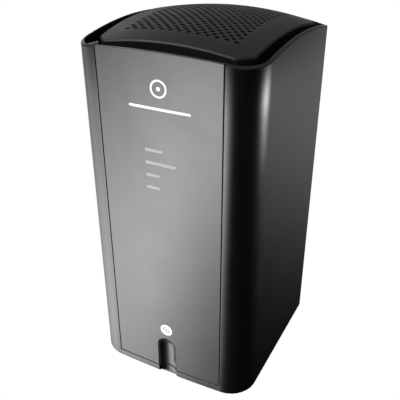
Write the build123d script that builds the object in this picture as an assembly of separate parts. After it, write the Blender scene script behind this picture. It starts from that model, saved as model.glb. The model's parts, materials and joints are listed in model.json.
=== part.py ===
from build123d import *
import math
import os

# Tower gateway: cable modem and router. Millimetres, +Z up, front towards -Y.
# The origin is the middle of the footprint, on the surface that the feet stand on.

# Driving dimensions of the casing
HALF_WIDTH = 60.0
FRONT_Y = -60.0          # front corner posts
BOW_Y = -61.0            # the front panel bows forward by 1 mm
REAR_Y = 61.0
CORNER_R = 19.2          # front vertical corners
REAR_R = 5.0
WALL = 2.2
SHELL_Z = 1.0            # underside of the casing
SHELL_REAR_Y = 56.0      # the shell ends here and the rear cover begins
SEAM = 0.4
TOO_HIGH = 260.0         # above everything, for cutting

# Domes: the casing's rim lies on one sphere, the vent cap on another
RIM_R, RIM_TOP = 275.0, 245.9
CAP_R, CAP_TOP, CAP_Y = 246.0, 246.4, 5.5
CAP_THICK = 2.0
CAP_SKIRT = 1.8
VENT_PITCH, VENT_R, VENT_COLUMNS, VENT_ROWS = 5.9, 1.5, 13, 14

# Front
SEAM_X = 40.8            # the vertical seams, where the corners start to turn
SEAM_HALF = 0.35
LIP_TOP = 6.6
PANEL_BOTTOM = 7.4
PANEL_TOP, PANEL_TOP_R = 237.9, 555.0
NOTCH_HALF = 7.3
NOTCH_Z = 27.2           # centre of the notch's arch
SCOOP_DEPTH = 3.2
BUTTON_HALF = 6.7
BUTTON_Z = 26.7
SWITCH_Z = 22.0
DISC_Z, DISC_R = 42.6, 4.6
INLAY = 0.5              # depth of the white inlays
WINDOW_LEFT = -10.0
WINDOW_WIDTHS = [12.4, 21.2, 9.6, 9.6]
WINDOW_Z0, WINDOW_PITCH, WINDOW_HALF = 179.2, 8.3, 1.1
EMBLEM_X, EMBLEM_Z, EMBLEM_R = 1.0, 217.5, 5.4
EMBLEM_BAR_Z, EMBLEM_BAR_HALF = 205.5, 20.2

# Inside
TRAY_Z, TRAY_THICK = 222.0, 2.4
BOARD_X0, BOARD_X1 = 3.2, 4.8
BOARD_FRONT, BOARD_REAR = -46.0, 44.0
BOARD_Z0, BOARD_Z1 = 12.0, 212.0
CHASSIS_X0, CHASSIS_X1 = 8.0, 11.0
PLATE_Z0, PLATE_Z1 = 1.4, 3.6
FOOT_R = 6.0
FOOT_PLACES = [(-42, -40), (42, -40), (-42, 42), (42, 42)]
COVER_SCREWS = [(-49, 22), (49, 22), (-49, 208), (49, 208)]
BASE_SCREWS = [(-51, -20), (51, -20), (-51, 22), (51, 22)]
BOARD_SCREWS = [(-36, 18), (30, 66), (-36, 204), (8, 206)]
WIFI_X, WIFI_Z0, WIFI_Z1 = 24.0, 104.0, 190.0
ANTENNAS = [(-57.8, -16, 150), (57.8, -16, 160), (57.8, 22, 100)]

# Rear port bay, and the ports in one column up the board's rear edge
BAY_X0, BAY_X1, BAY_Z0, BAY_Z1 = -16.0, 9.0, 14.0, 204.0
BAY_FLOOR = 48.5
BAY_WALL = 1.8
PORT_FACE = BAY_FLOOR + 0.3
INLET_X, INLET_Z, INLET_BORE_R, INLET_PIN_R = -2.6, 26.0, 3.2, 1.0
POWER_X, POWER_Z, POWER_HALF = -2.2, 45.0, 4.2
RESET_X, RESET_Z, RESET_R = -2.2, 58.0, 0.9
USB_X, USB_Z = -0.9, 71.0
LAN_X0, LAN_X1, LAN_Z0, LAN_PITCH, LAN_COUNT = -10.4, 3.2, 82.0, 16.0, 4
PHONE_Z0, PHONE_PITCH, PHONE_COUNT = 152.0, 13.0, 2
COAX_X, COAX_Z, COAX_R = -3.5, 190.5, 4.76
COAX_NUT_FACE = BAY_FLOOR + 2.6
LAN_CAVITY_X = (-8.6, 0.2)
PHONE_CAVITY_X = (-7.4, 0.0)


def block(x0, x1, y0, y1, z0, z1):
    return Pos((x0 + x1) / 2, (y0 + y1) / 2, (z0 + z1) / 2) * Box(x1 - x0, y1 - y0, z1 - z0)


def rod_x(x0, x1, y, z, radius):
    return Pos((x0 + x1) / 2, y, z) * Rot(0, 90, 0) * Cylinder(radius, x1 - x0)


def rod_y(x, y0, y1, z, radius):
    return Pos(x, (y0 + y1) / 2, z) * Rot(90, 0, 0) * Cylinder(radius, y1 - y0)


def rod_z(x, y, z0, z1, radius):
    return Pos(x, y, (z0 + z1) / 2) * Cylinder(radius, z1 - z0)


def group(solids):
    return Compound(children=[s.solid() for s in solids])


def save(shape, node):
    export_step(shape, f"parts/{node}.step")


def footprint(inset=0.0):
    """The casing's plan, set in by a distance: bowed front, big front corners, small rear ones."""
    side = HALF_WIDTH - inset
    front = FRONT_Y + inset
    rear = REAR_Y - inset
    turn_x = HALF_WIDTH - CORNER_R
    turn_y = FRONT_Y + CORNER_R
    front_r = (CORNER_R - inset) * math.sqrt(0.5)
    rear_r = max(REAR_R - inset, 1.0)
    rear_k = rear_r * (1 - math.sqrt(0.5))
    edges = [ThreePointArc((-turn_x, front), (0, BOW_Y + inset), (turn_x, front)),
             ThreePointArc((turn_x, front), (turn_x + front_r, turn_y - front_r), (side, turn_y)),
             Line((side, turn_y), (side, rear - rear_r)),
             ThreePointArc((side, rear - rear_r), (side - rear_k, rear - rear_k), (side - rear_r, rear)),
             Line((side - rear_r, rear), (rear_r - side, rear)),
             ThreePointArc((rear_r - side, rear), (rear_k - side, rear - rear_k), (-side, rear - rear_r)),
             Line((-side, rear - rear_r), (-side, turn_y)),
             ThreePointArc((-side, turn_y), (-turn_x - front_r, turn_y - front_r), (-turn_x, front))]
    return make_face(edges)


def prism(inset, z0, z1):
    return extrude(Pos(0, 0, z0) * footprint(inset), z1 - z0)


def ball(radius, top, y=0.0):
    return Pos(0, y, top - radius) * Sphere(radius)


def casing():
    """The casing as one block, with a rounded bottom edge and the domed rim."""
    body = prism(0, SHELL_Z, TOO_HIGH)
    body = fillet(body.edges().group_by(Axis.Z)[0], 1.4)
    return body & ball(RIM_R, RIM_TOP)


def scoop():
    """The finger groove's cutter: an upright cylinder with a ball end that bites into the front."""
    radius = (NOTCH_HALF ** 2 + SCOOP_DEPTH ** 2) / (2 * SCOOP_DEPTH)
    y = BOW_Y + SCOOP_DEPTH - radius
    return rod_z(0, y, -1, NOTCH_Z, radius) + Pos(0, y, NOTCH_Z) * Sphere(radius)


def arch(half, z0, z_centre, y0, y1):
    return block(-half, half, y0, y1, z0, z_centre) + rod_y(0, y0, y1, z_centre, half)


def bow_slice(depth0, depth1):
    """A layer of the front, between two depths behind its surface."""
    return prism(depth0, 0, TOO_HIGH) - prism(depth1, -1, TOO_HIGH + 1)


def pill(x0, x1, z, half, y0=-70, y1=-50):
    return (block(x0 + half, x1 - half, y0, y1, z - half, z + half)
            + rod_y(x0 + half, y0, y1, z, half) + rod_y(x1 - half, y0, y1, z, half))


def window_places():
    return [(WINDOW_LEFT, WINDOW_LEFT + width, WINDOW_Z0 - i * WINDOW_PITCH)
            for i, width in enumerate(WINDOW_WIDTHS)]


# Casing -------------------------------------------------------------------------------------

def outer_shell():
    shell = casing() - prism(WALL, 0, TOO_HIGH)
    shell -= block(-70, 70, SHELL_REAR_Y, 70, 0, TOO_HIGH)
    window = SEAM_X + SEAM_HALF
    shell -= block(-window, window, -70, -50, LIP_TOP, TOO_HIGH)
    # The lip is thicker behind the groove
    lip = (prism(1.0, SHELL_Z, LIP_TOP) & block(-11, 11, -62, -54.4, 0, LIP_TOP))
    shell += lip
    shell -= scoop()
    # Rebates that the front panel sits against; the left one fills the corner up to the rim
    points = [(-40.0, -57.7), (-42.6, -52.8), (-52.1, -57.7)]
    corner = extrude(Pos(0, 0, LIP_TOP) * make_face(Polyline(*points, close=True)), TOO_HIGH)
    shell += prism(WALL - 0.1, LIP_TOP, TOO_HIGH) & corner & ball(RIM_R, RIM_TOP)
    shell += prism(WALL - 0.1, LIP_TOP, 218) & block(37.6, 45, -57.7, -55.6, LIP_TOP, 218)
    # Screw bosses: upright ones for the base, level ones for the rear cover
    for x, y in BASE_SCREWS:
        side = math.copysign(1, x)
        rib = block(*sorted((x, side * 58)), y - 1.5, y + 1.5, PLATE_Z1, 20)
        shell += rod_z(x, y, PLATE_Z1, 20, 4) + rib - rod_z(x, y, 0, 16, 1.5)
    for x, z in COVER_SCREWS:
        side = math.copysign(1, x)
        rib = block(*sorted((x, side * 58)), 42, SHELL_REAR_Y, z - 1.5, z + 1.5)
        shell += rod_y(x, 42, SHELL_REAR_Y, z, 4) + rib - rod_y(x, 45, 60, z, 1.5)
    return shell


def front_panel():
    edge = SEAM_X - SEAM_HALF
    panel = bow_slice(0, WALL) & block(-edge, edge, -70, -50, PANEL_BOTTOM, TOO_HIGH)
    panel &= rod_y(0, -80, -40, PANEL_TOP - PANEL_TOP_R, PANEL_TOP_R)
    panel -= arch(NOTCH_HALF, 0, NOTCH_Z, -70, -50)
    for x0, x1, z in window_places():
        panel -= pill(x0, x1, z, WINDOW_HALF)
    recess = rod_y(0, -70, -50, DISC_Z, DISC_R)
    recess += rod_y(EMBLEM_X, -70, -50, EMBLEM_Z, EMBLEM_R)
    recess += pill(EMBLEM_X - EMBLEM_BAR_HALF, EMBLEM_X + EMBLEM_BAR_HALF, EMBLEM_BAR_Z, 0.8)
    panel -= recess & (prism(-1, 0, TOO_HIGH) - prism(INLAY, -1, TOO_HIGH + 1))
    land = rod_y(EMBLEM_X, -70, -50, EMBLEM_Z, EMBLEM_R - 1.2) - rod_y(EMBLEM_X, -71, -49, EMBLEM_Z, 1.3)
    return panel + (land & bow_slice(0, INLAY))


def emblem():
    ring = rod_y(EMBLEM_X, -70, -50, EMBLEM_Z, EMBLEM_R) - rod_y(EMBLEM_X, -71, -49, EMBLEM_Z, EMBLEM_R - 1.2)
    dot = rod_y(EMBLEM_X, -70, -50, EMBLEM_Z, 1.3)
    bar = pill(EMBLEM_X - EMBLEM_BAR_HALF, EMBLEM_X + EMBLEM_BAR_HALF, EMBLEM_BAR_Z, 0.8)
    layer = bow_slice(0, INLAY)
    return group([ring & layer, dot & layer, bar & layer])


def pair_disc():
    disc = rod_y(0, -70, -50, DISC_Z, DISC_R)
    disc -= rod_y(0, -70, -50, DISC_Z, 2.5) - rod_y(0, -70, -50, DISC_Z, 1.8)
    disc -= rod_y(0, -70, -50, DISC_Z, 0.8)
    disc &= bow_slice(0, INLAY)
    return group(disc.solids())


def rear_cover():
    cover = casing() - prism(WALL, PLATE_Z1, TOO_HIGH)
    cover &= block(-70, 70, SHELL_REAR_Y + SEAM, 70, 0, TOO_HIGH)
    bay = block(BAY_X0, BAY_X1, BAY_FLOOR - BAY_WALL, 70, BAY_Z0, BAY_Z1)
    walls = block(BAY_X0 - BAY_WALL, BAY_X1 + BAY_WALL, BAY_FLOOR - BAY_WALL, REAR_Y - 1,
                  BAY_Z0 - BAY_WALL, BAY_Z1 + BAY_WALL)
    cover = cover - bay + (walls - bay)
    cover += block(BAY_X0, BAY_X1, BAY_FLOOR - BAY_WALL, BAY_FLOOR, BAY_Z0, BAY_Z1)
    # Port cut-outs in the bay's floor
    gap = 0.3
    cuts = [block(LAN_X0 - gap, LAN_X1 + gap, 40, 52, LAN_Z0 - gap, LAN_Z0 + LAN_COUNT * LAN_PITCH + gap),
            block(LAN_X0 - gap, LAN_X1 + gap, 40, 52, PHONE_Z0 - gap,
                  PHONE_Z0 + PHONE_COUNT * PHONE_PITCH + gap),
            block(USB_X - 3.1, USB_X + 3.1, 40, 52, USB_Z - 6.9, USB_Z + 6.9),
            rod_y(COAX_X, 40, 52, COAX_Z, COAX_R + 0.3),
            rod_y(RESET_X, 40, 52, RESET_Z, RESET_R + 0.3),
            block(POWER_X - POWER_HALF - gap, POWER_X + POWER_HALF + gap, 40, 52,
                  POWER_Z - POWER_HALF - gap, POWER_Z + POWER_HALF + gap),
            rod_y(INLET_X, 40, 52, INLET_Z, 5.3)]
    for cut in cuts:
        cover -= cut
    # Air slots on both sides of the bay
    for x0, x1 in ((-52, -24), (17, 52)):
        for i in range(18):
            cover -= pill(x0, x1, 44 + i * 8.6, 1.2, 50, 70)
    for x, z in COVER_SCREWS:
        cover += rod_y(x, SHELL_REAR_Y + SEAM, REAR_Y - 1, z, 4.6)
        cover -= rod_y(x, 50, 70, z, 1.8)
        cover -= rod_y(x, REAR_Y - 2.2, 70, z, 3.3)
    return cover


def base_plate():
    plate = prism(WALL + 0.15, PLATE_Z0, PLATE_Z1) - block(-70, 70, SHELL_REAR_Y + 0.1, 70, 0, 10)
    plate -= block(-11.3, 11.3, -70, -54.1, 0, 10)
    for x in (-30, -20, -10, 0, 10, 20, 30):
        plate -= block(x - 1.5, x + 1.5, -46, -24, 0, 10)
        plate -= block(x - 1.5, x + 1.5, 26, 48, 0, 10)
    for x, y in BASE_SCREWS:
        plate -= rod_z(x, y, 0, 10, 1.8)
        plate -= rod_z(x, y, 0, PLATE_Z0 + 1.2, 3.2)
    return plate


def screw_z(x, y, z_head, length):
    head = rod_z(x, y, z_head, z_head + 1.1, 2.9)
    drive = rod_z(x, y, z_head - 1, z_head + 0.7, 1.0)
    return head + rod_z(x, y, z_head + 1, z_head + length, 1.4) - drive


def screw_y(x, y_head, z, length):
    head = rod_y(x, y_head - 1.1, y_head, z, 2.9)
    drive = rod_y(x, y_head - 0.7, y_head + 1, z, 1.0)
    return head + rod_y(x, y_head - length, y_head - 1, z, 1.4) - drive


def screw_x(x_head, y, z, length):
    head = rod_x(x_head, x_head + 1.6, y, z, 2.8)
    drive = rod_x(x_head - 1, x_head + 0.9, y, z, 1.0)
    return head + rod_x(x_head + 1.5, x_head + length, y, z, 1.4) - drive


def foot(x, y):
    pad = rod_z(x, y, 0, PLATE_Z0, FOOT_R)
    return chamfer(pad.edges().group_by(Axis.Z)[0], 0.4)


# Cap and tray -------------------------------------------------------------------------------

def cap_plan(inset=0.0):
    """The cap's outline: straight edges that spread towards the rear, with cut-off corners."""
    points = [(-42.5, -48.8), (42.5, -48.8), (50.3, -41.4), (53.8, 47.5), (48.5, 53.0),
              (-48.5, 53.0), (-53.8, 47.5), (-50.3, -41.4)]
    outline = Polyline(*points, close=True)
    face = fillet(make_face(outline).vertices(), 4.0)
    return offset(face, -inset) if inset else face


def top_cap():
    body = extrude(Pos(0, 0, TRAY_Z + TRAY_THICK) * cap_plan(), 40) & ball(CAP_R, CAP_TOP, CAP_Y)
    rim = [e for e in body.edges() if e.center().Z > 230 and abs(e.tangent_at(0.5).Z) < 0.9]
    body = chamfer(rim, 0.8)
    hollow = extrude(Pos(0, 0, TRAY_Z) * cap_plan(CAP_SKIRT), 40)
    hollow &= ball(CAP_R - CAP_THICK, CAP_TOP - CAP_THICK, CAP_Y)
    return body - hollow - vents()


def vents():
    """A diamond grid of round holes: full rows with shorter rows between them."""
    places = []
    for row in range(2 * VENT_ROWS - 1):
        count = VENT_COLUMNS - row % 2
        y = CAP_Y + (row - VENT_ROWS + 1) * VENT_PITCH / 2
        places += [((i - (count - 1) / 2) * VENT_PITCH, y) for i in range(count)]
    holes = [Location((x, y, CAP_TOP - 10)) for x, y in places]
    return extrude(Sketch() + [loc * Circle(VENT_R) for loc in holes], 20)


def cap_tray():
    tray = prism(WALL + 0.3, TRAY_Z, TRAY_Z + TRAY_THICK)
    tray -= block(-38, 38, -34, 44, TRAY_Z - 1, TRAY_Z + 10)
    tray -= block(-56, -38.4, -70, -52.4, TRAY_Z - 1, TRAY_Z + 10)
    ring = extrude(Pos(0, 0, TRAY_Z) * cap_plan(CAP_SKIRT + 0.3), 8)
    ring -= extrude(Pos(0, 0, TRAY_Z - 1) * cap_plan(CAP_SKIRT + 1.9), 12)
    return tray + ring


# Buttons and switches -----------------------------------------------------------------------

def pair_button():
    body = prism(0, 0, 60) & arch(BUTTON_HALF, PANEL_BOTTOM + 0.3, BUTTON_Z, -62, -55)
    # A wider flange behind the panel keeps the button in; its stem reaches the switch
    flange = arch(BUTTON_HALF + 2.4, PANEL_BOTTOM + 1.0, BUTTON_Z, -57.4, -55.6)
    body = body + flange - scoop() - block(-4.5, 4.5, -56.0, -54, 12, 30)
    return body + block(-1.8, 1.8, -57, -50.6, SWITCH_Z - 1.8, SWITCH_Z + 1.8)


def pair_switch():
    body = block(-3.1, BOARD_X0, -49.4, -45.6, SWITCH_Z - 3.1, SWITCH_Z + 3.1)
    return body - rod_y(0, -50, -46.4, SWITCH_Z, 1.85)


def pair_plunger():
    return rod_y(0, -50.5, -47.3, SWITCH_Z, 1.6)


def power_button():
    face = PORT_FACE + 2.4
    cap = block(POWER_X - POWER_HALF, POWER_X + POWER_HALF, 44.2, face,
                POWER_Z - POWER_HALF, POWER_Z + POWER_HALF)
    cap = fillet(cap.faces().sort_by(Axis.Y)[-1].edges(), 0.7)
    return cap - block(POWER_X - 1.6, POWER_X + 1.6, 44, 48, POWER_Z - 1.6, POWER_Z + 1.6)


def power_plunger():
    return block(POWER_X - 1.5, POWER_X + 1.5, 37, 47.8, POWER_Z - 1.5, POWER_Z + 1.5)


def power_switch():
    body = block(POWER_X - 4.0, BOARD_X0, 28, 41, POWER_Z - 4.2, POWER_Z + 4.2)
    return body - block(POWER_X - 1.9, POWER_X + 1.9, 33, 42, POWER_Z - 1.9, POWER_Z + 1.9)


def reset_button():
    return rod_y(RESET_X, 38.5, BAY_FLOOR - 0.7, RESET_Z, RESET_R)


def reset_switch():
    body = block(RESET_X - 3.0, BOARD_X0, 36, 41, RESET_Z - 3.0, RESET_Z + 3.0)
    return body - rod_y(RESET_X, 37.4, 42, RESET_Z, RESET_R + 0.25)


# Ports --------------------------------------------------------------------------------------

def lan_centres():
    return [LAN_Z0 + (i + 0.5) * LAN_PITCH for i in range(LAN_COUNT)]


def phone_centres():
    return [PHONE_Z0 + (i + 0.5) * PHONE_PITCH for i in range(PHONE_COUNT)]


def network_jacks():
    body = block(LAN_X0, LAN_X1, 28, PORT_FACE, LAN_Z0, LAN_Z0 + LAN_COUNT * LAN_PITCH)
    for z in lan_centres():
        body -= block(LAN_CAVITY_X[0], LAN_CAVITY_X[1], 35, 52, z - 5.95, z + 5.95)
        body -= block(LAN_CAVITY_X[0] - 1.2, LAN_CAVITY_X[0] + 1, 40, 52, z - 2.0, z + 2.0)
    return body


def network_contacts():
    pins = []
    for z in lan_centres():
        for i in range(8):
            pin_z = z + (i - 3.5) * 1.02
            pins.append(block(-0.9, -0.5, 35, 46, pin_z - 0.18, pin_z + 0.18)
                        + block(-0.9, 0.2, 35, 35.5, pin_z - 0.18, pin_z + 0.18))
    return group(pins)


def phone_jacks():
    body = block(LAN_X0 + 1.2, LAN_X1, 31, PORT_FACE, PHONE_Z0, PHONE_Z0 + PHONE_COUNT * PHONE_PITCH)
    for z in phone_centres():
        body -= block(PHONE_CAVITY_X[0], PHONE_CAVITY_X[1], 36, 52, z - 4.9, z + 4.9)
        body -= block(PHONE_CAVITY_X[0] - 1.0, PHONE_CAVITY_X[0] + 1, 40, 52, z - 2.0, z + 2.0)
    return body


def phone_contacts():
    pins = []
    for z in phone_centres():
        for i in range(4):
            pin_z = z + (i - 1.5) * 1.02
            pins.append(block(-1.0, -0.6, 36, 46, pin_z - 0.18, pin_z + 0.18)
                        + block(-1.0, 0.0, 36, 36.5, pin_z - 0.18, pin_z + 0.18))
    return group(pins)


def usb_port():
    body = block(USB_X - 2.85, USB_X + 2.85, 35, PORT_FACE, USB_Z - 6.6, USB_Z + 6.6)
    body -= block(USB_X - 2.5, USB_X + 2.5, 36, 52, USB_Z - 6.25, USB_Z + 6.25)
    return body + block(USB_X + 2.5, BOARD_X0, 36, 43, USB_Z - 5, USB_Z + 5)


def usb_tongue():
    return block(USB_X + 0.1, USB_X + 1.9, 36, PORT_FACE - 0.6, USB_Z - 5.5, USB_Z + 5.5)


def power_inlet():
    body = block(INLET_X - 5.6, BOARD_X0, 33.5, BAY_FLOOR - BAY_WALL - 0.2, INLET_Z - 4.8, INLET_Z + 4.8)
    body += rod_y(INLET_X, 40, PORT_FACE, INLET_Z, 5.0)
    return body - rod_y(INLET_X, PORT_FACE - 10, 52, INLET_Z, INLET_BORE_R)


def inlet_pin():
    return rod_y(INLET_X, PORT_FACE - 10, PORT_FACE - 1.0, INLET_Z, INLET_PIN_R)


def coax_connector():
    body = block(COAX_X - 5.5, BOARD_X0, 35, BAY_FLOOR - BAY_WALL - 0.2, COAX_Z - 6, COAX_Z + 6)
    body += rod_y(COAX_X, 44, COAX_NUT_FACE, COAX_Z, COAX_R - 0.16)
    body += rod_y(COAX_X, COAX_NUT_FACE, 59.6, COAX_Z, COAX_R)
    return body - rod_y(COAX_X, 57, 61, COAX_Z, 2.6)


def coax_insulator():
    return rod_y(COAX_X, 57, 59.2, COAX_Z, 2.6) - rod_y(COAX_X, 56, 60, COAX_Z, 0.6)


def coax_nut():
    hexagon = Rot(90, 0, 0) * extrude(RegularPolygon(6.4, 6), 1.0, both=True)
    nut = Pos(COAX_X, COAX_NUT_FACE - 1, COAX_Z) * hexagon
    washer = rod_y(COAX_X, BAY_FLOOR, BAY_FLOOR + 0.6, COAX_Z, 7.4)
    return nut + washer - rod_y(COAX_X, BAY_FLOOR - 1, BAY_FLOOR + 4, COAX_Z, COAX_R - 0.16)


# Boards and what stands on them ---------------------------------------------------------------

def main_board():
    board = block(BOARD_X0, BOARD_X1, BOARD_FRONT, BOARD_REAR, BOARD_Z0, BOARD_Z1)
    for y, z in BOARD_SCREWS:
        board -= rod_x(0, 10, y, z, 1.6)
    return board


def chassis_frame():
    frame = block(CHASSIS_X0, CHASSIS_X1, BOARD_FRONT, BOARD_REAR, PLATE_Z1, 220)
    for i in range(6):
        for y in (-29, -3):
            frame -= block(0, 20, y, y + 20, 28 + i * 27, 46 + i * 27)
    frame -= block(0, 20, -9, 13, 129, 139)
    frame -= block(0, 20, -34, -26, 213, 219)
    for y, z in BOARD_SCREWS:
        frame += rod_x(BOARD_X1, CHASSIS_X1, y, z, 3.2)
        frame -= rod_x(0, 20, y, z, 1.5)
    frame += block(-6, 30, BOARD_FRONT, -20, PLATE_Z1, PLATE_Z1 + 2.4)
    frame += block(-6, 30, 14, BOARD_REAR - 4, PLATE_Z1, PLATE_Z1 + 2.4)
    return frame + block(-30, 30, BOARD_FRONT, -38, 219, TRAY_Z)


def heat_sink(x_base, x_fin, y0, y1, z0, z1, pitch):
    """A finned plate: the base faces the chip and the fins stand away from it, upright."""
    step = math.copysign(1, x_fin - x_base)
    sink = block(*sorted((x_base, x_base + 3 * step)), y0, y1, z0, z1)
    count = int((y1 - y0) / pitch)
    for i in range(count + 1):
        y = y0 + 0.7 + i * (y1 - y0 - 1.4) / count
        sink += block(*sorted((x_base, x_fin)), y - 0.7, y + 0.7, z0, z1)
    return sink


def can(x_foot, x_lid, y0, y1, z0, z1):
    """A pressed shield: a lid with thin walls, open towards the board."""
    lo, hi = sorted((x_foot, x_lid))
    step = math.copysign(0.4, x_foot - x_lid)
    inner = sorted((x_foot + step, x_lid + step))
    return block(lo, hi, y0, y1, z0, z1) - block(*inner, y0 + 0.4, y1 - 0.4, z0 + 0.4, z1 - 0.4)


def light_guide():
    """A clear finger behind each window, narrowing to its lamp, on one spine."""
    guide = block(4.0, 6.0, -54, -51.5, WINDOW_Z0 - 3 * WINDOW_PITCH - 1, WINDOW_Z0 + 1)
    for x0, x1, z in window_places():
        points = [(x0, -58.3), (x1, -58.3), (max(x1 - 1, 5.5), -54), (5.5, -51.5), (3.2, -49.8),
                  (0.6, -49.8), (x0 + 3, -54)]
        guide += extrude(Pos(0, 0, z - 0.9) * make_face(Polyline(*points, close=True)), 1.8)
    return guide


def status_lamps():
    return group([block(0.8, BOARD_X0, -49.6, -45.4, z - 0.9, z + 0.9) for _, _, z in window_places()])


def lead(points, radius=0.6, bend=6):
    """A thin antenna lead: straight runs joined by arcs."""
    path = FilletPolyline(*points, radius=bend)
    return sweep(Plane(origin=path @ 0, z_dir=path % 0) * Circle(radius), path=path)


def antenna(x_wall, y, z):
    inward = -math.copysign(0.8, x_wall)
    plate = block(*sorted((x_wall, x_wall + inward)), y - 6, y + 6, z - 24, z + 24)
    slot = block(*sorted((x_wall - inward, x_wall + 2 * inward)), y - 7, y + 3, z - 2, z - 0.5)
    return plate - slot


def antenna_leads():
    """From each antenna up the casing's wall and across to the top edge of the Wi-Fi board."""
    routes = []
    for (x, y, z), z_across, y_end in zip(ANTENNAS, (215.5, 202, 202), (-30, -16, 22)):
        x_wall = x - math.copysign(1.4, x)
        points = [(x_wall, y, z + 18), (x_wall, y, z_across - 20 * (y != y_end))]
        points += [(x_wall, y_end, z_across)] * (y != y_end)
        routes.append(lead(points + [(WIFI_X + 0.6, y_end, z_across), (WIFI_X + 0.6, y_end, WIFI_Z1)]))
    return group(routes)


def build():
    os.makedirs("parts", exist_ok=True)
    save(outer_shell(), "outer_shell")
    save(front_panel(), "front_panel")
    save(rear_cover(), "rear_cover")
    save(base_plate(), "base_plate")
    save(group([foot(x, y) for x, y in FOOT_PLACES]), "rubber_feet")
    save(group([screw_z(x, y, PLATE_Z0 + 0.1, 12) for x, y in BASE_SCREWS]), "base_screws")
    save(group([screw_y(x, REAR_Y - 1.1, z, 13) for x, z in COVER_SCREWS]), "cover_screws")
    save(block(-30, 30, -18, 18, PLATE_Z0 - 0.2, PLATE_Z0), "rating_label")
    save(top_cap(), "top_cap")
    save(cap_tray(), "cap_tray")
    save(emblem(), "emblem")
    save(pair_disc(), "pair_disc")
    for i, (x0, x1, z) in enumerate(window_places(), 1):
        save(pill(x0, x1, z, WINDOW_HALF) & bow_slice(0, WALL), f"status_window_{i}")
    save(light_guide(), "light_guide")
    save(status_lamps(), "status_lamps")

    save(pair_button(), "pair_button")
    save(pair_switch(), "pair_switch")
    save(pair_plunger(), "pair_plunger")
    save(power_button(), "power_button")
    save(power_plunger(), "power_plunger")
    save(power_switch(), "power_switch")
    save(reset_button(), "reset_button")
    save(reset_switch(), "reset_switch")

    save(network_jacks(), "network_jacks")
    save(network_contacts(), "network_contacts")
    save(phone_jacks(), "phone_jacks")
    save(phone_contacts(), "phone_contacts")
    save(usb_port(), "usb_port")
    save(usb_tongue(), "usb_tongue")
    save(power_inlet(), "power_inlet")
    save(inlet_pin(), "inlet_pin")
    save(coax_connector(), "coax_connector")
    save(coax_insulator(), "coax_insulator")
    save(coax_nut(), "coax_nut")

    save(main_board(), "main_board")
    save(chassis_frame(), "chassis_frame")
    save(group([screw_x(BOARD_X0 - 1.6, y, z, 8) for y, z in BOARD_SCREWS]), "board_screws")
    save(block(1.2, BOARD_X0, -30, 0, 118, 148), "system_chip")
    save(block(0.7, 1.2, -30, 0, 118, 148), "chip_thermal_pad")
    save(heat_sink(0.7, -32, -40, 10, 100, 178, 7.5), "heat_sink")
    save(group([block(2.0, BOARD_X0, y, y + 9, 76, 90) for y in (-34, -20)]), "memory_chips")
    save(block(2.0, BOARD_X0, -2, 10, 78, 96), "flash_chip")
    save(can(BOARD_X0, -4.5, 12, 34, 180, 204), "tuner_can")
    save(group([block(-2.6, BOARD_X0, 14, 26, z, z + 15) for z in (84, 104, 124)]), "network_magnetics")
    save(group([rod_x(-9, BOARD_X0, y, z, 4.5) for y, z in ((-8, 30), (2.5, 30), (13, 30), (8, 42))]),
         "capacitors")
    save(group([block(-2.5, BOARD_X0, y, y + 9, 52, 61) for y in (-12, 0, 12)]), "power_coils")
    save(can(BOARD_X0, 0, -38, -14, 30, 66), "power_can")

    save(block(WIFI_X, WIFI_X + 1.2, -36, 28, WIFI_Z0, WIFI_Z1), "wifi_board")
    save(block(BOARD_X1, WIFI_X, -8, 12, 130, 138), "board_connector")
    save(group([rod_x(CHASSIS_X1, WIFI_X, y, z, 2.5) for y in (-33, 26) for z in (107, 154)]), "board_posts")
    save(can(25.2, 28.2, -20, 20, 120, 164), "wifi_can")
    save(block(28.2, 28.7, -16, 16, 124, 160), "wifi_thermal_pad")
    save(heat_sink(28.7, 44, -22, 22, 116, 168, 7.0), "wifi_heat_sink")
    save(group([antenna(*place) for place in ANTENNAS]), "antennas")
    save(antenna_leads(), "antenna_leads")


build()
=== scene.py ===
import json
import math
import bmesh
import bpy
from mathutils import Matrix, Vector


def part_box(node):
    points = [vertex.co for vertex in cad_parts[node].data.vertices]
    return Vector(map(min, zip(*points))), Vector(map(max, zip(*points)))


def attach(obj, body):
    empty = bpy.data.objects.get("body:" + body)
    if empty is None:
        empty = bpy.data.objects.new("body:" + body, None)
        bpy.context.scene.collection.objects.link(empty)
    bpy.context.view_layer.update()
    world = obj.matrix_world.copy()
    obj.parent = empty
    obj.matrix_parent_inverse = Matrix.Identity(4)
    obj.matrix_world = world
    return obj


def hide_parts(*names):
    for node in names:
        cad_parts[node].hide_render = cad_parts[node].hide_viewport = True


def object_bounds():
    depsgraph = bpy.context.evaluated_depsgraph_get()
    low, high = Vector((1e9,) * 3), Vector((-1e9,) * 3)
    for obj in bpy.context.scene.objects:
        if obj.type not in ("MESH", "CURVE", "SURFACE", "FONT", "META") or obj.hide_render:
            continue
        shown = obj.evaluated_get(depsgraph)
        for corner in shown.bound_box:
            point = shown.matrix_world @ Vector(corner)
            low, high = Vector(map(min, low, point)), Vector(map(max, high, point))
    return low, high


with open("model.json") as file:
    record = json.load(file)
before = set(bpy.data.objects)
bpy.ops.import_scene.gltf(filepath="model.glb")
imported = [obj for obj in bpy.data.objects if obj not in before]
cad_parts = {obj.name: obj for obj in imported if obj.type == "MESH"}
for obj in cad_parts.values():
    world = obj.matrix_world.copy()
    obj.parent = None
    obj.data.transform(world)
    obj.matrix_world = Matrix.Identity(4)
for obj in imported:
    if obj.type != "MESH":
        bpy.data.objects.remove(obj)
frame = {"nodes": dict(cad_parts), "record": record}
CAD_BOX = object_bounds()
NODES = frame["nodes"]
SLOT_OF = {row["node"]: row["material_slot"] for row in frame["record"]["subparts"]}
BODY_OF = {node: body for body, nodes in frame["record"]["behaviour"]["bodies"].items() for node in nodes}
MM = 0.001
scene = bpy.context.scene

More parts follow.
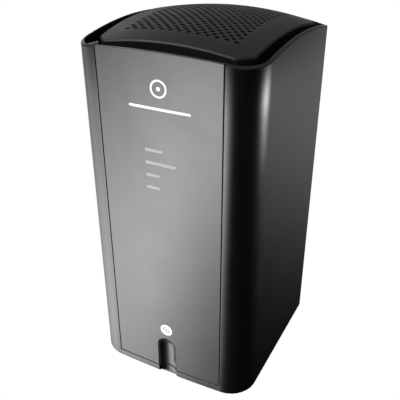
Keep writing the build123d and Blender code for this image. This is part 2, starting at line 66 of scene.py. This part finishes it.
# ---------------------------------------------------------------------------------------------
# Camera: to the right of the front, looking down, from a perspective fit of the casing's outline
# ---------------------------------------------------------------------------------------------
CAMERA_AZIMUTH, CAMERA_ELEVATION, CAMERA_ROLL = 27.40, 29.55, -0.21
CAMERA_DISTANCE = 427.3 * MM
CAMERA_TARGET = Vector((-3.96, -1.55, 115.9)) * MM
CAMERA_LENS = 53.7


def add_camera():
    """Looks at the target from the right of the front and from above, with a slight roll."""
    az, el, roll = (math.radians(v) for v in (CAMERA_AZIMUTH, CAMERA_ELEVATION, CAMERA_ROLL))
    back = Vector((math.sin(az) * math.cos(el), -math.cos(az) * math.cos(el), math.sin(el)))
    right = Vector((math.cos(az), math.sin(az), 0))
    up = back.cross(right)
    tilted_right = right * math.cos(roll) + up * math.sin(roll)
    tilted_up = up * math.cos(roll) - right * math.sin(roll)
    camera = bpy.data.objects.new("camera", bpy.data.cameras.new("camera"))
    camera.data.lens = CAMERA_LENS
    camera.data.clip_start = 0.01
    turn = Matrix((tilted_right, tilted_up, back)).transposed().to_4x4()
    camera.matrix_world = Matrix.Translation(CAMERA_TARGET + back * CAMERA_DISTANCE) @ turn
    scene.collection.objects.link(camera)
    scene.camera = camera


# ---------------------------------------------------------------------------------------------
# Node helpers
# ---------------------------------------------------------------------------------------------
class Graph:
    """Short calls for building a node tree."""

    def __init__(self, tree):
        self.tree = tree
        self.tree.nodes.clear()

    def put(self, value, socket):
        """Links a socket to another, or sets a plain value on it."""
        if isinstance(value, bpy.types.NodeSocket):
            self.tree.links.new(value, socket)
        elif value is not None:
            socket.default_value = value

    def node(self, kind, inputs=None, **settings):
        """A shader node by its kind, with its inputs and settings."""
        made = self.tree.nodes.new("ShaderNode" + kind)
        for name, value in settings.items():
            setattr(made, name, value)
        for key, value in (inputs or {}).items():
            self.put(value, made.inputs[key])
        return made

    def math(self, operation, a, b=None, c=None):
        """The result of one operation on sockets or numbers."""
        made = self.node("Math", operation=operation)
        for i, value in enumerate((a, b, c)):
            self.put(value, made.inputs[i])
        return made.outputs[0]

    def scale(self, value, low, high, to_low=0.0, to_high=1.0):
        """Carries the range low to high over to another, and holds it there."""
        made = self.node("MapRange", {"Value": value, "From Min": low, "From Max": high,
                                      "To Min": to_low, "To Max": to_high})
        return made.outputs[0]

    def noise(self, where, size, detail=2.0, roughness=0.5):
        """Noise whose blotches are about size metres across."""
        made = self.node("TexNoise", {"Vector": where, "Scale": 1 / size, "Detail": detail,
                                      "Roughness": roughness})
        return made.outputs["Fac"]

    def blend_colours(self, factor, a, b):
        """Colour a where the factor is 0, and b where it is 1."""
        made = self.node("Mix", data_type="RGBA")
        self.put(factor, made.inputs[0])
        self.put(a, made.inputs[6])
        self.put(b, made.inputs[7])
        return made.outputs[2]


# ---------------------------------------------------------------------------------------------
# World: white to the camera, and soft patches of studio light for everything else
# ---------------------------------------------------------------------------------------------
# Each patch: azimuth (0 in front, 90 to the right), narrowness, height (sine of elevation), spread of
# that height, strength. A low patch shows as a reflection in the upright walls. The first six rows came
# out of a least-squares fit, by a scratch program, to tones sampled on the front, corners and right side,
# and were rounded afterwards. The last three were set one by one.
LIGHT_PATCHES = [
    (307, 11, -0.56, 0.23, 3.5),      # left edge of the front panel
    (326, 70, -0.58, 0.125, 3.5),     # middle of the front panel, lower half
    (337, 22, -0.38, 0.19, 7.9),      # upper right of the front panel
    (121.5, 24, -0.305, 0.07, 10.5),  # highlight at the top of the right front corner
    (137, 4, -0.35, 0.17, 0.55),      # faint wash on the right side
    (285, 4, -0.53, 0.42, 2.1),       # left front corner
    (228, 20, 0.22, 0.14, 0.7),       # far left slope of the cap
    (190, 30, -0.17, 0.12, 2.2),      # rear cover and its ports
    (322, 8, 0.62, 0.20, 5.5),        # from above, on the rounded edges of the cap and rim
]
SKY_FROM, SKY_LOW, SKY_HIGH = -0.1, 0.08, 0.38   # strength of the sky from just under the horizon to overhead
HORIZON_FADE = (-0.12, 0.05)                     # the sky's light dies away between these heights


def add_world():
    """The camera sees plain white; everything else is lit by the sky and the patches."""
    world = bpy.data.worlds.new("studio")
    scene.world = world
    world.use_nodes = True
    g = Graph(world.node_tree)
    direction = g.node("TexCoord").outputs["Generated"]
    split = g.node("SeparateXYZ", {"Vector": direction})
    x, y, z = split.outputs
    level = g.math("SQRT", g.math("ADD", g.math("MULTIPLY", x, x), g.math("MULTIPLY", y, y)))
    level = g.math("MAXIMUM", level, 0.001)
    total = g.scale(z, SKY_FROM, 1.0, SKY_LOW, SKY_HIGH)
    total = g.math("MULTIPLY", total, g.scale(z, *HORIZON_FADE))
    for azimuth, narrow, height, spread, strength in LIGHT_PATCHES:
        a = math.radians(azimuth)
        to_side, to_front = g.math("MULTIPLY", x, math.sin(a)), g.math("MULTIPLY", y, math.cos(a))
        turned = g.math("SUBTRACT", to_side, to_front)
        aligned = g.math("SUBTRACT", g.math("DIVIDE", turned, level), 1.0)
        off = g.math("DIVIDE", g.math("SUBTRACT", z, height), spread)
        power = g.math("SUBTRACT", g.math("MULTIPLY", aligned, narrow), g.math("MULTIPLY", off, off))
        total = g.math("MULTIPLY_ADD", g.math("EXPONENT", power), strength, total)
    lit = g.node("Background", {"Color": (1, 1, 1, 1), "Strength": total})
    seen = g.node("Background", {"Color": (1, 1, 1, 1), "Strength": 1.0})
    mix = g.node("MixShader", {0: g.node("LightPath").outputs["Is Camera Ray"]})
    g.put(lit.outputs[0], mix.inputs[1])
    g.put(seen.outputs[0], mix.inputs[2])
    out = g.node("OutputWorld")
    g.put(mix.outputs[0], out.inputs["Surface"])


FLOOR_INSET, FLOOR_CUT, FLOOR_Z = 3 * MM, 16 * MM, -0.2 * MM


def add_floor():
    """A pale floor, kept to the footprint: beyond it the floor is as white as the surround."""
    inset, cut = FLOOR_INSET, FLOOR_CUT
    (x0, y0, _), (x1, y1, _) = CAD_BOX
    x0, y0, x1, y1 = x0 + inset, y0 + inset, x1 - inset, y1 - inset
    ring = [(x0 + cut, y0), (x1 - cut, y0), (x1, y0 + cut), (x1, y1 - cut),
            (x1 - cut, y1), (x0 + cut, y1), (x0, y1 - cut), (x0, y0 + cut)]
    mesh = bpy.data.meshes.new("floor")
    mesh.from_pydata([(x, y, FLOOR_Z) for x, y in ring], [], [range(len(ring))])
    mesh.materials.append(plastic("floor_pale", (0.6, 0.6, 0.6), 0.6))
    floor = bpy.data.objects.new("floor", mesh)
    scene.collection.objects.link(floor)


# ---------------------------------------------------------------------------------------------
# Materials
# ---------------------------------------------------------------------------------------------
def principled(name, **sockets):
    """A new material, its graph, its shader and a position in metres that rides with the piece."""
    material = bpy.data.materials.new(name)
    material.use_nodes = True
    g = Graph(material.node_tree)
    shader = g.node("BsdfPrincipled")
    for key, value in sockets.items():
        shader.inputs[key.replace("_", " ")].default_value = value
    out = g.node("OutputMaterial")
    g.put(shader.outputs[0], out.inputs["Surface"])
    return material, g, shader, g.node("TexCoord").outputs["Object"]


BUMP_HEIGHT = 0.1 * MM
SMEAR_SIZE, CLOUD_SIZE = 30 * MM, 12 * MM
FINE_GLOSS = 0.02                       # how far the grain moves the roughness


def plastic(name, colour, roughness, grain=0.35, depth=0.02, wear=1.6, smear=0.05, round_edge=0.4,
            gloss=0.5):
    """Moulded plastic: fine grain, faint smears in its gloss and edges rubbed a little paler.

    grain and round_edge are in millimetres, depth is the bump's strength, wear is how many times paler a
    rubbed edge gets, and smear is how much the roughness wanders.
    """
    material, g, shader, where = principled(name, Specular_IOR_Level=gloss)
    smears = g.noise(where, SMEAR_SIZE, 3.0, 0.6)
    fine = g.noise(where, grain * MM, 2.0, 0.6)
    edge = g.scale(g.node("NewGeometry").outputs["Pointiness"], 0.53, 0.62)
    dark = (*colour, 1)
    pale = (*(min(c * wear + 0.004, 1) for c in colour), 1)
    tone = g.math("MULTIPLY", g.noise(where, CLOUD_SIZE, 4.0, 0.55), 0.35)
    g.put(g.blend_colours(g.math("MAXIMUM", edge, tone), dark, pale), shader.inputs["Base Color"])
    rough = g.scale(smears, 0.3, 0.7, roughness - smear / 2, roughness + smear)
    smooth, coarse = g.math("SUBTRACT", rough, FINE_GLOSS), g.math("ADD", rough, FINE_GLOSS)
    g.put(g.scale(fine, 0.0, 1.0, smooth, coarse), shader.inputs["Roughness"])
    soft = g.node("Bevel", {"Radius": round_edge * MM}, samples=6)
    bump = g.node("Bump", {"Strength": depth, "Distance": BUMP_HEIGHT, "Height": fine,
                           "Normal": soft.outputs[0]})
    g.put(bump.outputs[0], shader.inputs["Normal"])
    return material


def metal(name, colour, roughness):
    """Plated or tinned metal: cloudy patches and fine marks."""
    material, g, shader, where = principled(name, Metallic=1.0)
    clouds = g.noise(where, 4 * MM, 3.0, 0.6)
    marks = g.noise(where, 0.8 * MM, 4.0, 0.7)
    dull = (*(c * 0.72 for c in colour), 1)
    g.put(g.blend_colours(g.scale(clouds, 0.35, 0.7), (*colour, 1), dull), shader.inputs["Base Color"])
    g.put(g.scale(marks, 0.2, 0.8, roughness, roughness + 0.14), shader.inputs["Roughness"])
    bump = g.node("Bump", {"Strength": 0.06, "Distance": BUMP_HEIGHT, "Height": marks})
    g.put(bump.outputs[0], shader.inputs["Normal"])
    return material


def circuit_board(name):
    """Green solder mask with the copper tracks showing as fine paler lines."""
    material, g, shader, where = principled(name, IOR=1.55)
    tracks = g.node("TexBrick", {"Vector": where, "Scale": 260.0, "Mortar Size": 0.012,
                                 "Color1": (0.006, 0.05, 0.02, 1), "Color2": (0.008, 0.07, 0.03, 1),
                                 "Mortar": (0.02, 0.14, 0.07, 1)})
    blotch = g.noise(where, 10 * MM)
    g.put(g.blend_colours(g.math("MULTIPLY", blotch, 0.4), tracks.outputs["Color"], (0.01, 0.09, 0.04, 1)),
          shader.inputs["Base Color"])
    g.put(g.scale(blotch, 0.3, 0.7, 0.25, 0.4), shader.inputs["Roughness"])
    return material


def printed_white(name, white=0.86, glow=0.0):
    """White print or a milky lens, slightly uneven. A glow above 0 is painted light: the surface shines on
    its own though it is no lamp.
    """
    material, g, shader, where = principled(name, IOR=1.48)
    mottle = g.noise(where, 0.6 * MM, 3.0)
    dull = 0.86 * white
    g.put(g.blend_colours(g.scale(mottle, 0.35, 0.65), (white, white, white, 1), (dull, dull, dull, 1)),
          shader.inputs["Base Color"])
    g.put(g.scale(mottle, 0.2, 0.8, 0.4, 0.55), shader.inputs["Roughness"])
    # Painted light: the glow is emission on print or a lens, which is no lamp
    shader.inputs["Emission Color"].default_value = (1, 1, 1, 1)
    shader.inputs["Emission Strength"].default_value = glow
    bump = g.node("Bump", {"Strength": 0.1, "Distance": BUMP_HEIGHT / 2, "Height": mottle})
    g.put(bump.outputs[0], shader.inputs["Normal"])
    return material


BLACK = (0.0035, 0.0035, 0.0037)
SOFT_BLACK = (0.02, 0.02, 0.021)


def materials():
    """One finish for each material slot of the record."""
    return {
        "casing": plastic("casing_black", BLACK, 0.16),
        "front": plastic("front_black", BLACK, 0.17),
        "button": plastic("button_black", BLACK, 0.2),
        "cap": plastic("cap_black", (0.007, 0.007, 0.0073), 0.36, 0.4, 0.12, 1.3, round_edge=0.7,
                       gloss=0.38),
        "rear": plastic("rear_black", (0.009, 0.009, 0.0095), 0.4, 0.5, 0.3),
        "base": plastic("base_black", (0.01, 0.01, 0.01), 0.5, 0.6, 0.3),
        "tray": plastic("tray_black", (0.002, 0.002, 0.002), 0.6, 0.5, 0.1, smear=0.02),
        "feet": plastic("foot_rubber", (0.012, 0.012, 0.012), 0.75, 0.7, 0.4),
        "label": plastic("blank_label", (0.5, 0.5, 0.49), 0.5, 0.3, 0.05, wear=1.1),
        "switch_case": plastic("switch_case", SOFT_BLACK, 0.5),
        "plunger": plastic("plunger_black", SOFT_BLACK, 0.4),
        "power_cap": plastic("power_cap_black", (0.012, 0.012, 0.012), 0.35),
        "jack_shell": plastic("jack_black", SOFT_BLACK, 0.45),
        "phone_shell": plastic("phone_jack_grey", (0.06, 0.06, 0.062), 0.45),
        "usb_insert": plastic("usb_insert", (0.03, 0.03, 0.032), 0.45),
        "inlet_shell": plastic("inlet_black", SOFT_BLACK, 0.4),
        "coax_insert": plastic("coax_insert", (0.7, 0.68, 0.62), 0.4, wear=1.1),
        "chassis": plastic("chassis_black", SOFT_BLACK, 0.55),
        "chips": plastic("chip_black", (0.015, 0.015, 0.015), 0.5),
        "pads": plastic("thermal_pad", (0.2, 0.25, 0.3), 0.7),
        "magnetics": plastic("coil_block", (0.02, 0.02, 0.02), 0.5),
        "capacitor_sleeve": plastic("capacitor_sleeve", (0.01, 0.015, 0.05), 0.3),
        "header": plastic("header_black", SOFT_BLACK, 0.5),
        "leads": plastic("lead_black", (0.02, 0.02, 0.02), 0.45),
        "clear": plastic("light_guide_clear", (0.6, 0.62, 0.63), 0.15, wear=1.1),
        # Painted glow: the white print shines on its own at strength 0.25, though it is no lamp
        "white_print": printed_white("white_print", glow=0.25),
        "window": printed_white("milky_window", 0.42),
        "lamps": printed_white("lamp_white"),
        "plated": metal("nickel_plate", (0.72, 0.70, 0.66), 0.2),
        "nut": metal("nut_nickel", (0.68, 0.66, 0.62), 0.25),
        "screws": metal("screw_zinc", (0.32, 0.32, 0.33), 0.35),
        "shield": metal("tinned_steel", (0.6, 0.6, 0.58), 0.3),
        "contacts": metal("gold_flash", (0.95, 0.68, 0.28), 0.22),
        "sink": metal("black_anodised", (0.06, 0.06, 0.062), 0.4),
        "board": circuit_board("solder_mask"),
        "antenna_plate": circuit_board("antenna_laminate"),
    }


def dress(finishes):
    """Gives every CAD node the finish of its record slot."""
    for name, obj in NODES.items():
        obj.data.materials.clear()
        obj.data.materials.append(finishes[SLOT_OF[name]])


# ---------------------------------------------------------------------------------------------
# Casing shell: one wall swept round the plan, with rounded bottom and rim (all in millimetres)
# ---------------------------------------------------------------------------------------------
HALF_WIDTH, FRONT_Y, BOW, CORNER_R, WALL = 60.0, -60.0, 1.0, 19.2, 2.2
TURN_X, TURN_Y = HALF_WIDTH - CORNER_R, FRONT_Y + CORNER_R     # centres of the front corners' arcs
SHELL_Z, SHELL_REAR_Y = 1.0, 56.0
SEAM_EDGE = 41.15                       # x where each side begins, beside the front panel
SEAM_DEGREES = math.degrees(math.asin((SEAM_EDGE - TURN_X) / CORNER_R))
RIM_R, RIM_TOP = 275.0, 245.9           # the rim lies on a sphere
FOOT_ROUND, RIM_ROUND, LIP_ROUND, INNER_ROUND = 1.4, 0.8, 0.5, 0.4
LIP_TOP = 6.6
LIP_BACK_Y, LIP_BACK_HALF = -54.4, 11.0  # the lip is thicker behind the finger groove
GROOVE_HALF, GROOVE_DEPTH = 7.3, 3.2
LAND = [(-42.6, -52.8), (-51.2, -57.2), (-44.2, -58.2), (-40.0, -57.7)]
REBATE, REBATE_TOP = [(37.6, -57.7), (44.0, -57.7), (44.0, -55.6), (37.6, -55.6)], 218.0
BOSS_R, BOSS_BORE_R = 4.0, 1.5
BASE_BOSS_X, BASE_BOSS_Y, BASE_BOSS_Z, BASE_BOSS_LENGTH = 51, (-20, 22), 3.6, 16.4
REAR_BOSS_X, REAR_BOSS_Y, REAR_BOSS_Z, REAR_BOSS_LENGTH = 49, 42, (22, 208), 14.0
CORNER_STEPS, SIDE_STEPS, WALL_STEPS, LIP_STEPS = 30, 14, 8, 9


def rim_height(x, y):
    """Height of the rim at a place in the plan."""
    return RIM_TOP - RIM_R + math.sqrt(RIM_R ** 2 - x * x - y * y)


def corner_column(side, degrees):
    """A place on a front corner's arc, 0 at the front and 90 at the side, with the way inwards."""
    a = math.radians(degrees)
    out = Vector((side * math.sin(a), -math.cos(a)))
    return Vector((side * TURN_X, TURN_Y)) + out * CORNER_R, -out


def side_columns(side):
    """From the seam round the corner and back to the rear edge of the shell."""
    turn = 90 - SEAM_DEGREES
    columns = [corner_column(side, SEAM_DEGREES + turn * i / CORNER_STEPS) for i in range(CORNER_STEPS + 1)]
    for i in range(1, SIDE_STEPS + 1):
        y = TURN_Y + (SHELL_REAR_Y - TURN_Y) * i / SIDE_STEPS
        columns.append((Vector((side * HALF_WIDTH, y)), Vector((-side, 0))))
    return columns


def bow_y(x):
    """The front bows forward between the corners."""
    radius = (TURN_X ** 2 + BOW ** 2) / (2 * BOW)
    return FRONT_Y - BOW + radius - math.sqrt(radius ** 2 - x * x)


def groove_depth(x):
    """Depth of the finger groove, an arc, at x across the lip."""
    if abs(x) >= GROOVE_HALF:
        return 0.0
    radius = (GROOVE_HALF ** 2 + GROOVE_DEPTH ** 2) / (2 * GROOVE_DEPTH)
    return max(0.0, GROOVE_DEPTH - radius + math.sqrt(radius ** 2 - x * x))


def lip_columns():
    """The strip under the front panel, from seam to seam, with close steps across the groove."""
    beside = [-TURN_X + i * (TURN_X - GROOVE_HALF) / LIP_STEPS for i in range(LIP_STEPS)]
    across = [-GROOVE_HALF + i * GROOVE_HALF / LIP_STEPS for i in range(2 * LIP_STEPS + 1)]
    places = beside + across + [-x for x in reversed(beside)]
    columns = [(Vector((x, bow_y(x))), Vector((0, 1))) for x in places]
    return [corner_column(-1, SEAM_DEGREES), *columns, corner_column(1, SEAM_DEGREES)]


def quarter(offset, z, radius, first, last, steps=5):
    """Points of a rounded edge, as (distance inwards, height)."""
    angles = [math.radians(first + (last - first) * i / steps) for i in range(steps + 1)]
    return [(offset - radius * math.cos(a), z + radius * math.sin(a)) for a in angles]


def wall_profile(outer, inner, top_at, rim_round):
    """A closed section through the wall: rounded foot, outer face, rounded rim and inner face."""
    low, high = SHELL_Z + FOOT_ROUND, top_at(outer) - rim_round
    points = quarter(outer + FOOT_ROUND, low, FOOT_ROUND, -90, 0)
    points += [(outer, low + (high - low) * i / WALL_STEPS) for i in range(1, WALL_STEPS)]
    points += quarter(outer + rim_round, high, rim_round, 0, 90)
    points[-1] = (outer + rim_round, top_at(outer + rim_round))
    top, nip = top_at(inner), 0.3 * INNER_ROUND
    points += [(inner - INNER_ROUND, top), (inner - nip, top - nip), (inner, top - INNER_ROUND)]
    points.append((inner, SHELL_Z))
    return points


def sweep(mesh, columns, section):
    """Closed skin through every column's section."""
    rings = []
    for place, inward in columns:
        ring = []
        for offset, z in section(place, inward):
            x, y = place + inward * offset
            ring.append(mesh.verts.new((x * MM, y * MM, z * MM)))
        rings.append(ring)
    for left, right in zip(rings, rings[1:]):
        for i in range(len(left)):
            j = (i + 1) % len(left)
            mesh.faces.new((left[i], left[j], right[j], right[i]))
    mesh.faces.new(rings[0])
    mesh.faces.new(list(reversed(rings[-1])))


def upright(mesh, outline, z0, top_at, rounding=0.0):
    """A closed upright block on an outline, with its top edges softened."""
    low = [mesh.verts.new((x * MM, y * MM, z0 * MM)) for x, y in outline]
    high = [mesh.verts.new((x * MM, y * MM, top_at(x, y) * MM)) for x, y in outline]
    count = len(outline)
    for i in range(count):
        j = (i + 1) % count
        mesh.faces.new((low[i], low[j], high[j], high[i]))
    lid = mesh.faces.new(high)
    mesh.faces.new(list(reversed(low)))
    if rounding:
        bmesh.ops.bevel(mesh, geom=list(lid.edges), offset=rounding * MM, segments=3, profile=0.5,
                        affect="EDGES")


def tube(mesh, centre, along, length, outer, inner, steps=28):
    """A screw boss: a closed tube from a point along an axis."""
    side = along.orthogonal().normalized()
    other = along.cross(side)
    rings = []
    for i in range(steps):
        a = math.tau * i / steps
        out = side * math.cos(a) + other * math.sin(a)
        rings.append([mesh.verts.new((centre + out * r + along * d) * MM)
                      for r, d in ((outer, 0), (outer, length), (inner, length), (inner, 0))])
    for i in range(steps):
        a, b = rings[i], rings[(i + 1) % steps]
        for j in range(4):
            k = (j + 1) % 4
            mesh.faces.new((a[j], a[k], b[k], b[j]))


def finished_piece(name, mesh, node, finishes, sharp):
    """Turns mesh work into an object that stands for a CAD node and rides on its body.

    Edges that turn by more than sharp degrees stay crisp.
    """
    bmesh.ops.recalc_face_normals(mesh, faces=mesh.faces)
    data = bpy.data.meshes.new(name)
    mesh.to_mesh(data)
    mesh.free()
    data.shade_smooth()
    data.set_sharp_from_angle(angle=math.radians(sharp))
    data.materials.append(finishes[SLOT_OF[node]])
    piece = bpy.data.objects.new(name, data)
    scene.collection.objects.link(piece)
    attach(piece, BODY_OF[node])
    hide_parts(node)
    return piece


def casing_shell(finishes):
    """The wrap-around casing, with its lip, land, rebate strip and screw bosses."""
    mesh = bmesh.new()

    def side_section(place, inward):
        def top_at(offset):
            return rim_height(*(place + inward * offset))
        return wall_profile(0.0, WALL, top_at, RIM_ROUND)

    def lip_section(place, inward):
        inner = LIP_BACK_Y - place.y if abs(place.x) < LIP_BACK_HALF else WALL
        return wall_profile(groove_depth(place.x), inner, lambda offset: LIP_TOP, LIP_ROUND)

    for side in (-1, 1):
        sweep(mesh, side_columns(side), side_section)
    sweep(mesh, lip_columns(), lip_section)
    # The land fills the left corner up to the rim, and the rebate strip stands behind the right seam
    upright(mesh, LAND, LIP_TOP, rim_height, LIP_ROUND)
    upright(mesh, REBATE, LIP_TOP, lambda x, y: REBATE_TOP)
    for side in (-1, 1):
        for y in BASE_BOSS_Y:
            foot = Vector((side * BASE_BOSS_X, y, BASE_BOSS_Z))
            tube(mesh, foot, Vector((0, 0, 1)), BASE_BOSS_LENGTH, BOSS_R, BOSS_BORE_R)
        for z in REAR_BOSS_Z:
            foot = Vector((side * REAR_BOSS_X, REAR_BOSS_Y, z))
            tube(mesh, foot, Vector((0, 1, 0)), REAR_BOSS_LENGTH, BOSS_R, BOSS_BORE_R)
    return finished_piece("casing_shell", mesh, "outer_shell", finishes, sharp=35)


# ---------------------------------------------------------------------------------------------
# Coaxial connector: the threaded barrel on its square body (in millimetres)
# ---------------------------------------------------------------------------------------------
THREAD_PITCH, THREAD_DEPTH = 25.4 / 32, 0.32        # 32 threads to the inch
BARREL_R, NECK_R, BORE_R = 4.76, 4.6, 2.6
BODY_HALF, BODY_REAR_Y, NECK_START_Y = 5.5, 46.5, 44.0
NUT_FACE_Y, BARREL_END_Y, BORE_FLOOR_Y = 51.1, 59.6, 57.0
THREAD_START_Y, THREAD_END_Y = NUT_FACE_Y + 0.05, BARREL_END_Y - 0.35
MOUTH_CHAMFER, THREAD_ROUND, BODY_ROUND = 0.25, 0.3, 0.3
TURN_STEPS, ROWS_PER_TURN = 56, 9


def thread_radius(y, turn):
    """Radius of the thread's surface: a rounded ridge that climbs one pitch in a turn."""
    phase = ((y - NUT_FACE_Y) / THREAD_PITCH - turn) % 1.0
    return BARREL_R - THREAD_DEPTH * (0.5 - 0.5 * math.cos(math.tau * phase)) ** 0.8


def coax_rows():
    """Rings along the barrel, as (y, radius): neck, thread (no radius of its own), mouth and bore."""
    count = int((THREAD_END_Y - THREAD_START_Y) / THREAD_PITCH * ROWS_PER_TURN)
    neck = [(NECK_START_Y, NECK_R), (NUT_FACE_Y, NECK_R)]
    thread = [(THREAD_START_Y + i * THREAD_PITCH / ROWS_PER_TURN, None) for i in range(count)]
    end = [(THREAD_END_Y, BARREL_R - THREAD_ROUND), (BARREL_END_Y, BARREL_R - 2 * THREAD_ROUND)]
    mouth = [(BARREL_END_Y, BORE_R + MOUTH_CHAMFER), (BARREL_END_Y - MOUTH_CHAMFER, BORE_R)]
    return neck + thread + end + mouth + [(BORE_FLOOR_Y, BORE_R)]


def coax_barrel(finishes):
    """The barrel and its square body, placed by the CAD connector's box."""
    mesh = bmesh.new()
    low, high = (Vector(v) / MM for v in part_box("coax_connector"))
    centre_x, centre_z = low.x + BODY_HALF, (low.z + high.z) / 2
    rings = []
    for y, radius in coax_rows():
        ring = []
        for i in range(TURN_STEPS):
            turn = i / TURN_STEPS
            r = thread_radius(y, turn) if radius is None else radius
            a = math.tau * turn
            place = Vector((centre_x + r * math.cos(a), y, centre_z + r * math.sin(a)))
            ring.append(mesh.verts.new(place * MM))
        rings.append(ring)
    for near, far in zip(rings, rings[1:]):
        for i in range(TURN_STEPS):
            j = (i + 1) % TURN_STEPS
            mesh.faces.new((near[i], near[j], far[j], far[i]))
    mesh.faces.new(rings[0])
    mesh.faces.new(list(reversed(rings[-1])))
    corners = [(low.x, low.y), (high.x, low.y), (high.x, BODY_REAR_Y), (low.x, BODY_REAR_Y)]
    upright(mesh, corners, low.z, lambda x, y: high.z, BODY_ROUND)
    return finished_piece("coax_barrel", mesh, "coax_connector", finishes, sharp=50)


add_camera()
add_world()
add_floor()
finishes = materials()
dress(finishes)
casing_shell(finishes)
coax_barrel(finishes)
scene.view_settings.view_transform = "Standard"
